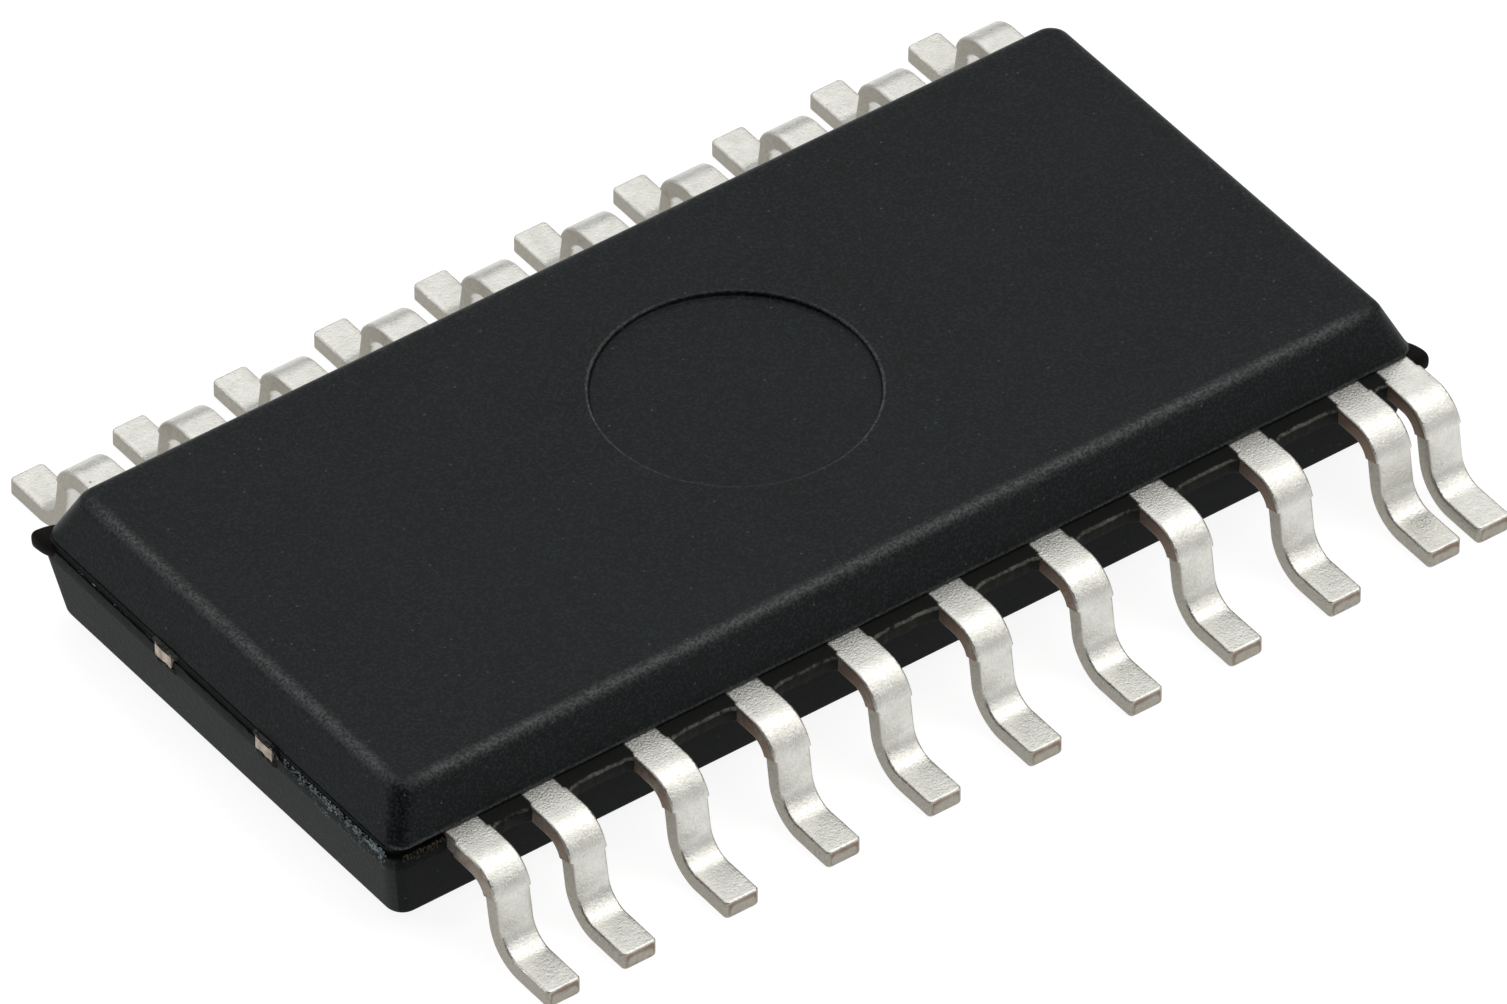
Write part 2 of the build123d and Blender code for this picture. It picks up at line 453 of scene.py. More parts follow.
@dataclass(frozen=True)
class MatteTin(Finish):
    """Matte tin, electroplated on a stamped copper-alloy strip.

    The plating is pale, soft and grainy. Where the strip was sheared after plating, and along
    worn edges, brown copper shows through.
    """

    colour: str = "#d9d8d2"
    dull_colour: str = "#cccbc4"
    flank_colour: str = "#a5a197"
    bare_colour: str = "#654f41"
    bare_pale_colour: str = "#967f6e"
    # Crystals of matte tin are a few thousandths of a millimetre, drawn coarser so that they show
    crystal: float = 0.028
    crystal_height: float = 0.0052
    mottle: float = 0.16
    stain: float = 0.3
    # One cell in ten holds a pit, about 0.05 mm across
    pit: float = 0.34
    pit_rarity: float = 0.9
    roughness: float = 0.36
    roughness_spread: float = 0.12
    flank_roughness: float = 0.20

    def build(self) -> Material:
        """Build the tin, brown where the mesh's bare attribute is high.

        Returns:
            The material.
        """
        material, tree, place = self.new_material()
        crystals, mottles, stains = (
            add_node(tree, "TexNoise", dict(zip(NOISE, (place, 1 / size, detail, rough))))["Fac"]
            for size, detail, rough in (
                (self.crystal, 2.0, 0.6),
                (self.mottle, 4.0, 0.6),
                (self.stain, 5.0, 0.7),
            )
        )
        bare, flank = (
            add_node(tree, "Attribute", {}, attribute_name=name)["Fac"] for name in ("bare", "flank")
        )
        pits = add_node(tree, "TexVoronoi", {"Vector": place, "Scale": 1 / self.pit})
        chance = add_node(tree, "SeparateColor", {"Color": pits["Color"]})["Green"]
        pitted = add_node(tree, "Math", {0: chance, 1: self.pit_rarity}, operation="GREATER_THAN")["Value"]
        spread = (self.roughness - self.roughness_spread, self.roughness + self.roughness_spread)
        mottle_amount, pit_depth, rough = (
            add_node(tree, "MapRange", dict(zip(RANGE, values)))["Result"]
            for values in (
                (mottles, 0.35, 0.7),
                (pits["Distance"], 0.10, 0.04, 0.0, pitted),
                (crystals, 0.3, 0.7, *spread),
            )
        )
        worn = add_node(tree, "Math", {0: bare, 1: pit_depth}, operation="MAXIMUM")["Value"]
        ragged, rougher, height = (
            add_node(tree, "Math", dict(enumerate(values)), operation="MULTIPLY_ADD")["Value"]
            for values in (
                (stains, 0.9, worn),
                (flank, self.flank_roughness, rough),
                (mottles, 0.2, crystals),
            )
        )
        bare_amount = add_node(tree, "MapRange", dict(zip(RANGE, (ragged, 0.95, 1.25, 0.0, 0.85))))["Result"]
        mix = {"Factor": crystals, MIX_A: linear(self.bare_colour), MIX_B: linear(self.bare_pale_colour)}
        copper = add_node(tree, "Mix", mix, data_type="RGBA")[MIX_RESULT]
        layers = (
            (mottle_amount, linear(self.dull_colour)),
            (flank, linear(self.flank_colour)),
            (bare_amount, copper),
        )
        gloss = {"Metallic": 1.0, "Roughness": rougher}
        self.close(tree, linear(self.colour), layers, (height, 1.0, self.crystal_height), gloss)
        return material


@dataclass(frozen=True)
class LitAcrylic(Finish):
    """White acrylic of a light table, lit from below, so that the floor stays white."""

    colour: str = "#7f7f7f"
    glow_colour: str = "#ffffff"
    glow: float = 0.89
    roughness: float = 0.9
    haze_size: float = 50.0

    def build(self) -> Material:
        """Build the acrylic.

        Returns:
            The material.
        """
        material, tree, place = self.new_material()
        haze = add_node(tree, "TexNoise", dict(zip(NOISE, (place, 1 / self.haze_size, 1.0))))["Fac"]
        values = (haze, 0.0, 1.0, self.roughness - 0.05, self.roughness)
        rough = add_node(tree, "MapRange", dict(zip(RANGE, values)))["Result"]
        light = {"Emission Color": linear(self.glow_colour), "Emission Strength": self.glow}
        self.close(tree, linear(self.colour), (), (), {"Roughness": rough, **light})
        return material


@dataclass(frozen=True)
class PlainFinish(Finish):
    """A finish with one colour pair, a fine grain and a bump, for small and sealed pieces."""

    colour: str
    second_colour: str
    grain_size: float
    roughness: float
    metallic: float = 0.0
    bump_height: float = 0.004

    def build(self) -> Material:
        """Build the finish.

        Returns:
            The material.
        """
        material, tree, place = self.new_material()
        specks = add_node(tree, "TexNoise", dict(zip(NOISE, (place, 1 / self.grain_size, 3.0, 0.6))))["Fac"]
        amount = add_node(tree, "MapRange", dict(zip(RANGE, (specks, 0.35, 0.65))))["Result"]
        layers = [(amount, linear(self.second_colour))]
        gloss = {"Metallic": self.metallic, "Roughness": self.roughness}
        self.close(tree, linear(self.colour), layers, (specks, 0.4, self.bump_height), gloss)
        return material


# Moulded body


@dataclass
class MouldedBody:
    """The black body: two drafted halves that meet at the leadframe, with the recess on top."""

    length: float = 12.95
    width: float = 6.15
    bottom: float = 0.10
    parting_low: float = 0.91
    ridge: float = 1.035
    parting_high: float = 1.12
    top: float = 1.70
    lower_inset: float = 0.15
    upper_inset: float = 0.28
    lip_inset: float = 0.03
    groove_depth: float = 0.07
    # The groove is filled up at the ends of the body
    end_fill: float = 0.045
    end_zone: float = 0.3
    corner_radius: float = 0.20
    smallest_radius: float = 0.05
    top_radius: float = 0.14
    bottom_radius: float = 0.12
    parting_radius: float = 0.05
    groove_radius: float = 0.012
    lip_radius: float = 0.024
    ridge_wave: float = 0.016
    # Extra rings that hold the edges and the painted highlight bands in shape
    support: float = 0.04
    lip_ring: float = 0.055
    wall_ring: float = 0.13
    top_ring: float = 0.15
    face_ring: float = 0.5
    # Place, width and strength of the painted highlight bands
    rub_offset: float = 0.044
    rub_half: float = 0.084
    rub_far: float = 0.15
    lip_highlight: float = 0.03
    rim_highlight_axis: Point2 = (-0.8, 0.6)
    recess_place: Point2 = (0.12, 0.12)
    recess_radius: float = 1.50
    recess_depth: float = 0.06
    recess_lip: float = 0.025
    side_step: float = 0.06
    corner_steps: int = 10

    def outline(self, inset: float, height: float) -> list[Point3]:
        """Outline of the body at a point of the side profile.

        Args:
            inset: Distance inside the body's largest outline.
            height: Height of the point.

        Returns:
            Points of the outline, as many at every inset.
        """
        straight = self.upper_inset if height > self.parting_high else self.lower_inset
        radius = max(self.smallest_radius, self.corner_radius - max(0.0, inset - straight))
        runs = (round(self.length / self.side_step), round(self.width / self.side_step))
        half_x, half_y = self.length / 2 - inset, self.width / 2 - inset
        return rounded_rectangle(half_x, half_y, radius, self.corner_steps, runs)

    def side_profile(self) -> list[Point2]:
        """Side of the body, from the bottom face up to the top face.

        Returns:
            Inset and height of each ring.
        """
        lip = self.parting_high
        draft = (self.upper_inset - self.lip_inset) / (self.top - lip)
        # Inset, height and radius of each corner
        corners = (
            (self.lower_inset + self.face_ring, self.bottom, 0.0),
            (self.lower_inset, self.bottom, self.bottom_radius),
            (0.0, self.parting_low, self.parting_radius),
            (0.0, self.ridge - self.support, 0.0),
            (0.0, self.ridge, self.groove_radius),
            (self.groove_depth, self.ridge + 0.008, self.groove_radius),
            (self.groove_depth, lip - 0.006, self.groove_radius),
            (self.lip_inset, lip, self.lip_radius),
            (self.lip_inset + draft * self.lip_highlight, lip + self.lip_highlight, 0.0),
            (self.lip_inset + draft * self.lip_ring, lip + self.lip_ring, 0.0),
            (self.upper_inset - draft * self.wall_ring, self.top - self.wall_ring, 0.0),
            (self.upper_inset, self.top, self.top_radius),
            (self.upper_inset + self.top_ring, self.top, 0.0),
            (self.upper_inset + self.face_ring, self.top, 0.0),
        )
        return rounded_path([c[:2] for c in corners], [c[2] for c in corners[1:-1]], 8)

    def shift(self, x: float, y: float, inset: float, height: float) -> Point2:
        """Make the ridge uneven, and fill the groove at the ends.

        Args:
            x: Place of a point along X.
            y: Its place along Y.
            inset: Inset of its ring.
            height: Height of its ring.

        Returns:
            Its new place along X and Y.
        """
        if self.ridge - 0.013 <= height <= self.ridge + 0.01:
            uneven = 0.5 + 0.5 * grain(x, y, 0.0, 0.18) + 0.4 * grain(x, y, 0.0, 0.07, 7.0)
            shrink = 1 - max(0.0, uneven) * self.ridge_wave / math.hypot(x, y)
            x, y = x * shrink, y * shrink
        if self.ridge < height < self.parting_high:
            at_end = min(1.0, max(0.0, (abs(x) - self.length / 2 + self.end_zone) / 0.2))
            x += math.copysign(self.end_fill * at_end * inset / self.groove_depth, x)
        return x, y

    def build(self, epoxy: Material, groove: Material, ends: Material, flanks: Material) -> Piece:
        """Build the body's mesh.

        Args:
            epoxy: Finish of the upper half.
            groove: Finish of the torn resin in the groove of the parting line.
            ends: Finish of the ends of the lower half.
            flanks: Finish of the long sides and the underside of the lower half.

        Returns:
            The body, which stands for the CAD body.
        """
        profile = self.side_profile()
        points: list[Point3] = []
        for inset, height in profile:
            for x, y, _ in self.outline(inset, height):
                points.append((*self.shift(x, y, inset, height), height))
        size = len(points) // len(profile)
        points += self.recess_rings(points[-size:])
        faces = tube_faces(len(points) // size, size)
        body = mesh_piece("body_moulding", points, faces, epoxy, 50.0)
        # The edge attribute carries the painted highlight
        store(body, "edge", [self.rub(*place) for place in points])
        for finish in (groove, ends, flanks):
            body.data.materials.append(finish)
        for face in body.data.polygons:
            height = face.center.z / MM
            if self.ridge < height < self.parting_high - 0.01:
                face.material_index = 1
            # Lower half: painted paler on the ends and darker on the long sides, by which way each face
            # looks
            elif height <= self.ridge:
                face.material_index = 2 if abs(face.normal.x) > 0.7 else 3
        return seat(body, Slot.EPOXY, ["moulded_body"])

    def rub(self, x: float, y: float, z: float) -> float:
        """How much painted highlight a point of the body gets.

        Args:
            x: Place of the point along X.
            y: Its place along Y.
            z: Its height.

        Returns:
            From 0 to 1: painted highlight on the top edges, full on the front and left ones and faint on
            the far ones, on the front lip over the leads and on the rim of the recess.
        """
        from_recess = Vector((x - self.recess_place[0], y - self.recess_place[1]))
        # Painted highlight on the rim of the recess, strongest across the rim's highlight axis
        if from_recess.length < self.recess_radius + 0.1:
            on_lip = abs(from_recess.length - self.recess_radius - 0.01) < 0.02
            high = z > self.top - 0.6 * self.recess_lip
            across = abs(from_recess.normalized().dot(Vector(self.rim_highlight_axis)))
            return (0.25 + 0.65 * across**2) if on_lip and high else 0.0
        # Painted highlight along the front lip over the leads
        if 0.0 <= z - self.parting_high < self.lip_highlight + 0.002 and y < 0.2 - self.width / 2:
            return 0.8
        if self.top - z > self.top_radius:
            return 0.0
        # Painted highlight along the top edges, full on the front and left sides that face the lights
        gap_x, gap_y = self.length / 2 - abs(x), self.width / 2 - abs(y)
        off_band = abs((self.upper_inset + self.rub_offset - min(gap_x, gap_y)) / self.rub_half)
        band = max(0.0, min(1.0, 1.2 - off_band * 1.2))
        clear = (max(gap_x, gap_y) - self.upper_inset) / 0.5
        facing_light = x < 0 if gap_x < gap_y else y < 0
        return (1.0 if facing_light else self.rub_far) * band * min(1.0, max(0.0, clear))

    def recess_rings(self, rim: Sequence[Point3]) -> list[Point3]:
        """Rings of the round recess, each point at the angle of its point on the top's rim.

        Args:
            rim: The last ring of the top face.

        Returns:
            Points of the rings, from the mouth down to the floor.
        """
        floor = self.top - self.recess_depth
        mouth = [
            (self.recess_radius + 0.15, self.top),
            (self.recess_radius + 0.035, self.top),
            (self.recess_radius, self.top),
            (self.recess_radius - 0.01, floor),
            (self.recess_radius - 0.2, floor),
        ]
        rings: list[Point3] = []
        centre_x, centre_y = self.recess_place
        for radius, height in rounded_path(mouth, [0.0, self.recess_lip, self.recess_lip], 4):
            for x, y, _ in rim:
                angle = math.atan2(y - centre_y, x - centre_x)
                place = (centre_x + radius * math.cos(angle), centre_y + radius * math.sin(angle))
                rings.append((*place, height))
        return rings


# Resin at the parting line


@dataclass
class ResinMesh:
    """Points, faces and torn values of one piece of resin, gathered tube by tube."""

    points: list[Point3] = field(default_factory=list)
    faces: list[Face] = field(default_factory=list)
    torn: list[float] = field(default_factory=list)

    def add_tube(self, points: list[Point3], torn: list[float], ring_size: int, flip: bool = False) -> None:
        """Add a closed tube.

        Args:
            points: Points of its rings.
            torn: How torn the resin is at each point.
            ring_size: Points in each ring.
            flip: Whether its rings run clockwise.
        """
        faces = tube_faces(len(points) // ring_size, ring_size, len(self.points))
        self.faces += [face[::-1] for face in faces] if flip else faces
        self.points += points
        self.torn += torn

    def finish(self, name: str, resin: Material, sharp_degrees: float) -> Piece:
        """Make the piece.

        Args:
            name: Name of the piece.
            resin: Finish of the piece.
            sharp_degrees: Edges that turn more than this stay sharp.

        Returns:
            The piece, seated on the body.
        """
        piece = mesh_piece(name, self.points, self.faces, resin, sharp_degrees)
        store(piece, "torn", self.torn)
        return seat(piece, Slot.EPOXY)


@dataclass(frozen=True)
class CrumbSpan:
    """A straight stretch of the parting line that holds crumbs of resin."""

    start: Point2
    end: Point2
    count: int
    size: float
    spread: float
    lift: float = 0.0
    crowd: float = 1.0


@dataclass
class PartingResin:
    """Resin left at the parting line: webs between the leads, corner nubs and loose crumbs."""

    body: MouldedBody
    lead_xs: dict[Row, list[float]]
    lead_width: float = 0.42
    web_step: float = 0.02
    # The webs end just inside the flanks of the leads, and start inside the wall
    web_overlap: float = 0.02
    web_root: float = 0.10
    reach_mid_gap: float = 0.15
    reach_at_lead: float = 0.22
    meniscus: float = 0.14
    nub_root: float = 0.20
    nub_tip: float = 0.10
    nub_reach: float = 0.16
    nub_torn: float = 0.35
    tie_bar_place: float = 0.87
    collar_length: float = 0.42
    collar_reach: float = 0.036
    collar_torn: float = 0.8
    crumb_seed: int = 41
    crumb_sides: int = 7
    crumb_torn: float = 1.2

    def web_reach(self, x: float, left: float, right: float, side: int) -> float:
        """How far a web stands out of the wall.

        Args:
            x: Place along the row.
            left: Right flank of the lead on the left.
            right: Left flank of the lead on the right.
            side: Sign of the row's Y.

        Returns:
            The reach in millimetres.
        """
        near = min(x - left, right - x)
        climb = math.exp(-max(0.0, near) / (self.meniscus / 2.5))
        ragged = 0.012 * grain(x, side, 0.0, 0.11) + 0.006 * grain(x, side, 0.0, 0.035, 3.0)
        return self.reach_mid_gap + (self.reach_at_lead - self.reach_mid_gap) * climb + ragged

    def build_webs(self, row: Row, resin: Material) -> Piece:
        """Build the webs of one row as one mesh.

        Args:
            row: The row of leads.
            resin: Finish of the flash.

        Returns:
            The webs.
        """
        side, wall = row.value, self.body.width / 2
        low, high = self.body.parting_low + 0.004, self.body.parting_high - 0.012
        mesh = ResinMesh()
        xs = self.lead_xs[row]
        for left_x, right_x in zip(xs, xs[1:]):
            left = left_x + self.lead_width / 2
            right = right_x - self.lead_width / 2
            count = max(8, round((right - left) / self.web_step))
            points: list[Point3] = []
            torn: list[float] = []
            for k in range(count + 1):
                x = left - self.web_overlap + (right - left + 2 * self.web_overlap) * k / count
                reach = self.web_reach(x, left, right, side)
                lift = 0.006 * grain(x, side, 5.0, 0.08)
                # Distance out of the wall, height and how torn it is
                section = (
                    (-self.web_root, high, 0.0),
                    (reach - 0.045, high + lift, 0.15),
                    (reach - 0.012, high + lift - 0.004, 1.0),
                    (reach, high - 0.022, 1.0),
                    (reach - 0.004, high - 0.05, 0.25),
                    (reach - 0.012, low + 0.02, 0.0),
                    (reach - 0.03, low, 0.0),
                    (-self.web_root, low, 0.0),
                )
                points += [(x, side * (wall + out), height) for out, height, _ in section]
                torn += [edge for _, _, edge in section]
            mesh.add_tube(points, torn, len(section), flip=side > 0)
        return mesh.finish(f"web_resin_{row.name.lower()}", resin, 60.0)

    def build_nub(self, name: str, sign_x: int, resin: Material) -> Piece:
        """Build a corner nub, a rounded tongue of resin left by the gate.

        Args:
            name: Name of the piece.
            sign_x: Sign of the corner's X; its Y has the other sign.
            resin: Finish of the flash.

        Returns:
            The nub.
        """
        outward = Vector((sign_x, -sign_x)).normalized()
        corner = Vector((sign_x * self.body.length / 2, -sign_x * self.body.width / 2))
        corner -= outward * self.body.corner_radius * (math.sqrt(2) - 1)
        root = corner - outward * self.nub_root / 2
        tip = corner + outward * (self.nub_reach - self.nub_tip)
        half_high = (self.body.parting_high - self.body.parting_low) / 2
        middle = self.body.parting_low + half_high
        around, steps = 48, 12
        points: list[Point3] = []
        for k in range(1, steps):
            tilt = math.pi * k / steps - math.pi / 2
            full = math.cos(tilt) ** 0.45
            height = middle + half_high * math.copysign(abs(math.sin(tilt)) ** 0.9, math.sin(tilt))
            for j in range(around):
                angle = 2 * math.pi * j / around
                ray = Vector((math.cos(angle), math.sin(angle)))
                ahead = max(0.0, ray.dot(outward)) ** 1.5
                radius = self.nub_root + (self.nub_tip - self.nub_root) * ahead
                lump = 1 - 0.08 * (0.5 + 0.5 * grain(ray.x, ray.y, tilt, 0.6, sign_x))
                place = root.lerp(tip, ahead) + ray * radius * full * lump
                points.append((place.x, place.y, height))
        mesh = ResinMesh()
        mesh.add_tube(points, [self.nub_torn] * len(points), around)
        return mesh.finish(name, resin, 70.0)

    def build_collars(self, name: str, sign_x: int, resin: Material) -> Piece:
        """Lap resin over the upper and lower edges of the cut ends of the tie bars.

        Args:
            name: Name of the piece.
            sign_x: Sign of the end's X.
            resin: Finish of the flash.

        Returns:
            The collars of that end.
        """
        wall = self.body.length / 2
        # Lowest and highest edge of each lap, and how ragged its highest edge is
        laps = (
            (self.body.parting_low - 0.03, self.body.parting_low + 0.05, 1.0),
            (self.body.parting_high - 0.04, self.body.parting_high + 0.002, 0.0),
        )
        mesh = ResinMesh()
        count = 24
        for middle in (-self.tie_bar_place, self.tie_bar_place):
            for low, high, top_ragged in laps:
                points: list[Point3] = []
                for k in range(count + 1):
                    share = k / count
                    y = middle + sign_x * (share - 0.5) * self.collar_length
                    reach = -0.005 + self.collar_reach * math.sin(math.pi * share) ** 0.35
                    ragged = 0.016 * grain(y, sign_x, low, 0.06)
                    bottom, top = low + 0.5 * ragged, high + top_ragged * ragged
                    section = (
                        (-0.04, top),
                        (reach - 0.008, top - 0.002),
                        (reach, top - 0.012),
                        (reach - 0.004, bottom + 0.02),
                        (reach - 0.016, bottom),
                        (-0.04, bottom),
                    )
                    points += [(sign_x * (wall + out), y, height) for out, height in section]
                mesh.add_tube(points, [self.collar_torn] * len(points), len(section))
        return mesh.finish(name, resin, 60.0)

    def build_crumbs(self, name: str, spans: Sequence[CrumbSpan], resin: Material) -> Piece:
        """Scatter resin crumbs along stretches of the parting line, as one mesh.

        Args:
            name: Name of the piece.
            spans: Stretches that hold crumbs.
            resin: Finish of the flash.

        Returns:
            The crumbs.
        """
        draw = random.Random(self.crumb_seed)
        mesh = ResinMesh()
        body = self.body
        for span in spans:
            for _ in range(span.count):
                size = span.size * (0.5 + 0.9 * draw.random() ** 2)
                height = body.ridge + span.lift + span.spread * (draw.random() - 0.5)
                height = min(height, body.parting_high - 1.4 * size)
                share = draw.random() ** span.crowd
                share += 0.05 * grain(share, span.size, 0.0, 0.06, 2.0)
                x, y = between(span.start, span.end, min(1.0, max(0.0, share)))
                drop = max(0.0, body.parting_low - height)
                sunk = body.lower_inset * drop / (body.parting_low - body.bottom)
                if abs(x) > body.length / 2 - 0.1:
                    x -= math.copysign(sunk, x)
                else:
                    y -= math.copysign(sunk, y)
                self.add_crumb(mesh, (x, y, height), size, draw)
        return mesh.finish(name, resin, 80.0)

    def add_crumb(self, mesh: ResinMesh, place: Point3, size: float, draw: random.Random) -> None:
        """Add one lumpy crumb to a mesh.

        Args:
            mesh: The mesh so far.
            place: Seat of the crumb.
            size: Its radius.
            draw: Source of chance.
        """
        turn = draw.random() * math.pi
        stretch = 0.8 + 0.9 * draw.random()
        points: list[Point3] = []
        # Height and width of each ring, as shares of the crumb's radius
        for height, width in ((-0.55, 0.85), (0.0, 1.0), (0.5, 0.72), (0.8, 0.3)):
            for k in range(self.crumb_sides):
                angle = turn + 2 * math.pi * k / self.crumb_sides
                radius = size * width * (0.75 + 0.4 * draw.random())
                x = place[0] + radius * math.cos(angle) * 0.8
                y = place[1] + radius * math.sin(angle) * stretch
                points.append((x, y, place[2] + size * (height + 0.5) * 0.9))
        mesh.add_tube(points, [self.crumb_torn] * len(points), self.crumb_sides)

    def left_spans(self) -> list[CrumbSpan]:
        """Rough resin of the left end.

        Returns:
            Dense stretches from the nearer tie bar to the corner, and a sparse one for the rest.
        """
        wall = -self.body.length / 2
        near = -self.body.width / 2 + 0.15
        far = self.body.width / 2 - 0.3
        return [
            CrumbSpan((wall + 0.008, -1.0), (wall + 0.008, near), 1500, 0.0105, 0.26, -0.06, 0.7),
            CrumbSpan((wall + 0.014, -1.3), (wall + 0.014, near), 110, 0.018, 0.09, -0.03, 0.7),
            CrumbSpan((wall + 0.035, 1.1), (wall + 0.035, far), 160, 0.014, 0.03),
        ]

    def front_spans(self) -> list[CrumbSpan]:
        """Brown crumbs of the front.

        Returns:
            Stretches from the front corner to the first lead, and beside the last lead.
        """
        wall = -self.body.width / 2
        first = self.lead_xs[Row.FRONT][0] - self.lead_width / 2
        last = self.lead_xs[Row.FRONT][-1] + self.lead_width / 2
        corner = self.body.length / 2 - 0.12
        return [
            CrumbSpan((-corner, wall + 0.02), (first, wall + 0.01), 130, 0.014, 0.09),
            CrumbSpan((last, wall + 0.02), (corner, wall + 0.02), 20, 0.02, 0.05),
        ]

    def right_spans(self) -> list[CrumbSpan]:
        """Sparse crumbs of the right end, all along it."""
        wall, half = self.body.length / 2 - 0.03, self.body.width / 2 - 0.3
        return [CrumbSpan((wall, -half), (wall, half), 160, 0.016, 0.03)]


# Leads


class Station(NamedTuple):
    """A cross-section of a lead: its top's place, its heading, its size and how bare its cut is."""

    out: float
    up: float
    heading: float
    half: float
    shrink: float = 0.0
    cut: float = 0.0


@dataclass
class GullWing:
    """One lead of the leadframe, from inside the body's wall to the end of its foot."""

    name: str
    row: Row
    x: float
    wall: float
    sole: float = 0.0
    width: float = 0.42
    thickness: float = 0.21
    root: float = 0.10
    shoulder_reach: float = 0.79
    reach: float = 1.70
    drop: float = 0.91
    lean_degrees: float = 9.0
    shoulder_radius: float = 0.42
    heel_radius: float = 0.30
    toe_radius: float = 0.05
    toe_edge: float = 0.022
    edge_radius: float = 0.03
    stub_extra: float = 0.024
    stub_slope: float = 0.018
    stub_start: float = 0.13
    stub_drop: float = 0.30
    step: float = 0.03
    # How bare the strip is at its exit from the resin, along its edges, on its flanks and its toe
    exit_stain: float = 0.42
    edge_wear: float = 0.40
    flank_wear: float = 0.12
    toe_burr: float = 0.36

    @property
    def shear(self) -> float:
        """How bare the sheared flanks of the stub are, worn more towards the front right."""
        return 0.80 + 0.02 * self.x if self.row is Row.FRONT else 0.45

    def in_stub(self, out: float, up: float) -> bool:
        """Whether a point of the top surface lies on the dam-bar stub."""
        return out >= self.stub_start and up >= self.thickness - self.stub_drop

    def top_path(self) -> list[Point3]:
        """Path along the top surface.

        Returns:
            Outward place, height above the underside of the shoulder, and heading in radians.
        """
        foot = self.thickness - self.drop
        heel_reach = self.shoulder_reach + self.drop * math.tan(math.radians(self.lean_degrees))
        corners = [
            (-self.root, self.thickness),
            (self.shoulder_reach, self.thickness),
            (heel_reach, foot),
            (self.reach, foot),
        ]
        coarse = rounded_path(corners, [self.shoulder_radius, self.heel_radius], 14)
        path: list[Point3] = []
        for start, end in zip(coarse, coarse[1:]):
            along, rise = end[0] - start[0], end[1] - start[1]
            parts = max(1, round(math.hypot(along, rise) / self.step))
            heading = math.atan2(rise, along)
            path += [(*between(start, end, k / parts), heading) for k in range(parts)]
        last = (*coarse[-1], path[-1][2])
        smooth = [(*here[:2], (before[2] + here[2]) / 2) for before, here in zip(path, path[1:])]
        return [path[0], *smooth, last]

    def section(self, half: float, shrink: float) -> list[Point3]:
        """Cross-section of the strip, anticlockwise as seen from the toe.

        Args:
            half: Half of the strip's width there.
            shrink: How much lower its top and how much higher its underside is.

        Returns:
            Sideways place, depth below the top surface, and 1 on a flank or 0 on a flat.
        """
        middle = self.thickness / 2
        half_high = middle - shrink
        radius = min(self.edge_radius, 0.9 * half_high)
        ring = rounded_rectangle(half, half_high, radius, 4, (8, 4))
        return [(u, middle - v, flank) for u, v, flank in ring]

    def bareness(self, station: Station, depth: float, flank: float) -> float:
        """How bare of tin a point of the strip is.

        Args:
            station: Its cross-section.
            depth: Its depth below the top surface.
            flank: 1 on a flank, 0 on a flat.

        Returns:
            From 0, plated, to 1, bare copper.
        """
        out = station.out
        stain = self.exit_stain * math.exp(-max(0.0, out) / 0.05) if out < 0.2 else 0.0
        wear = self.edge_wear if 0.05 < flank < 0.95 else 0.0
        side = self.shear if self.in_stub(out, station.up) else self.flank_wear
        burr = self.toe_burr * max(0.0, 1 - abs(depth - 0.06) / 0.06) if self.on_toe(out) else 0.0
        return max(stain, wear, side if flank > 0.6 else 0.0, station.cut + burr)

    def on_toe(self, out: float) -> bool:
        """Whether a cross-section lies in the end face of the toe."""
        return out >= self.reach - 1e-6

    def build(self, tin: Material) -> Piece:
        """Build the lead's mesh.

        Args:
            tin: Finish of the lead.

        Returns:
            The lead, which stands for its CAD node.
        """
        side = self.row.value
        base = self.sole + self.drop
        points: list[Point3] = []
        bare: list[float] = []
        flanks: list[float] = []
        stations = self.stations()
        for station in stations:
            out, up, heading = station[:3]
            for u, depth, flank in self.section(station.half, station.shrink):
                y = out + math.sin(heading) * depth
                z = up - math.cos(heading) * depth
                x = self.x + side * u
                dent = 0.004 * grain(x * 3, y, z, 0.35, 11.0)
                points.append((x + dent * flank, side * (self.wall + y), base + z))
                bare.append(self.bareness(station, depth, flank))
                flanks.append(1.0 if self.on_toe(out) else flank * min(1.0, 0.55 + 1.2 * max(0.0, out)))
        faces = tube_faces(len(stations), len(points) // len(stations))
        lead = mesh_piece(self.name + "_strip", points, [face[::-1] for face in faces], tin, 45.0)
        store(lead, "bare", bare)
        store(lead, "flank", flanks)
        return seat(lead, Slot.TINNED_LEAD, [self.name])

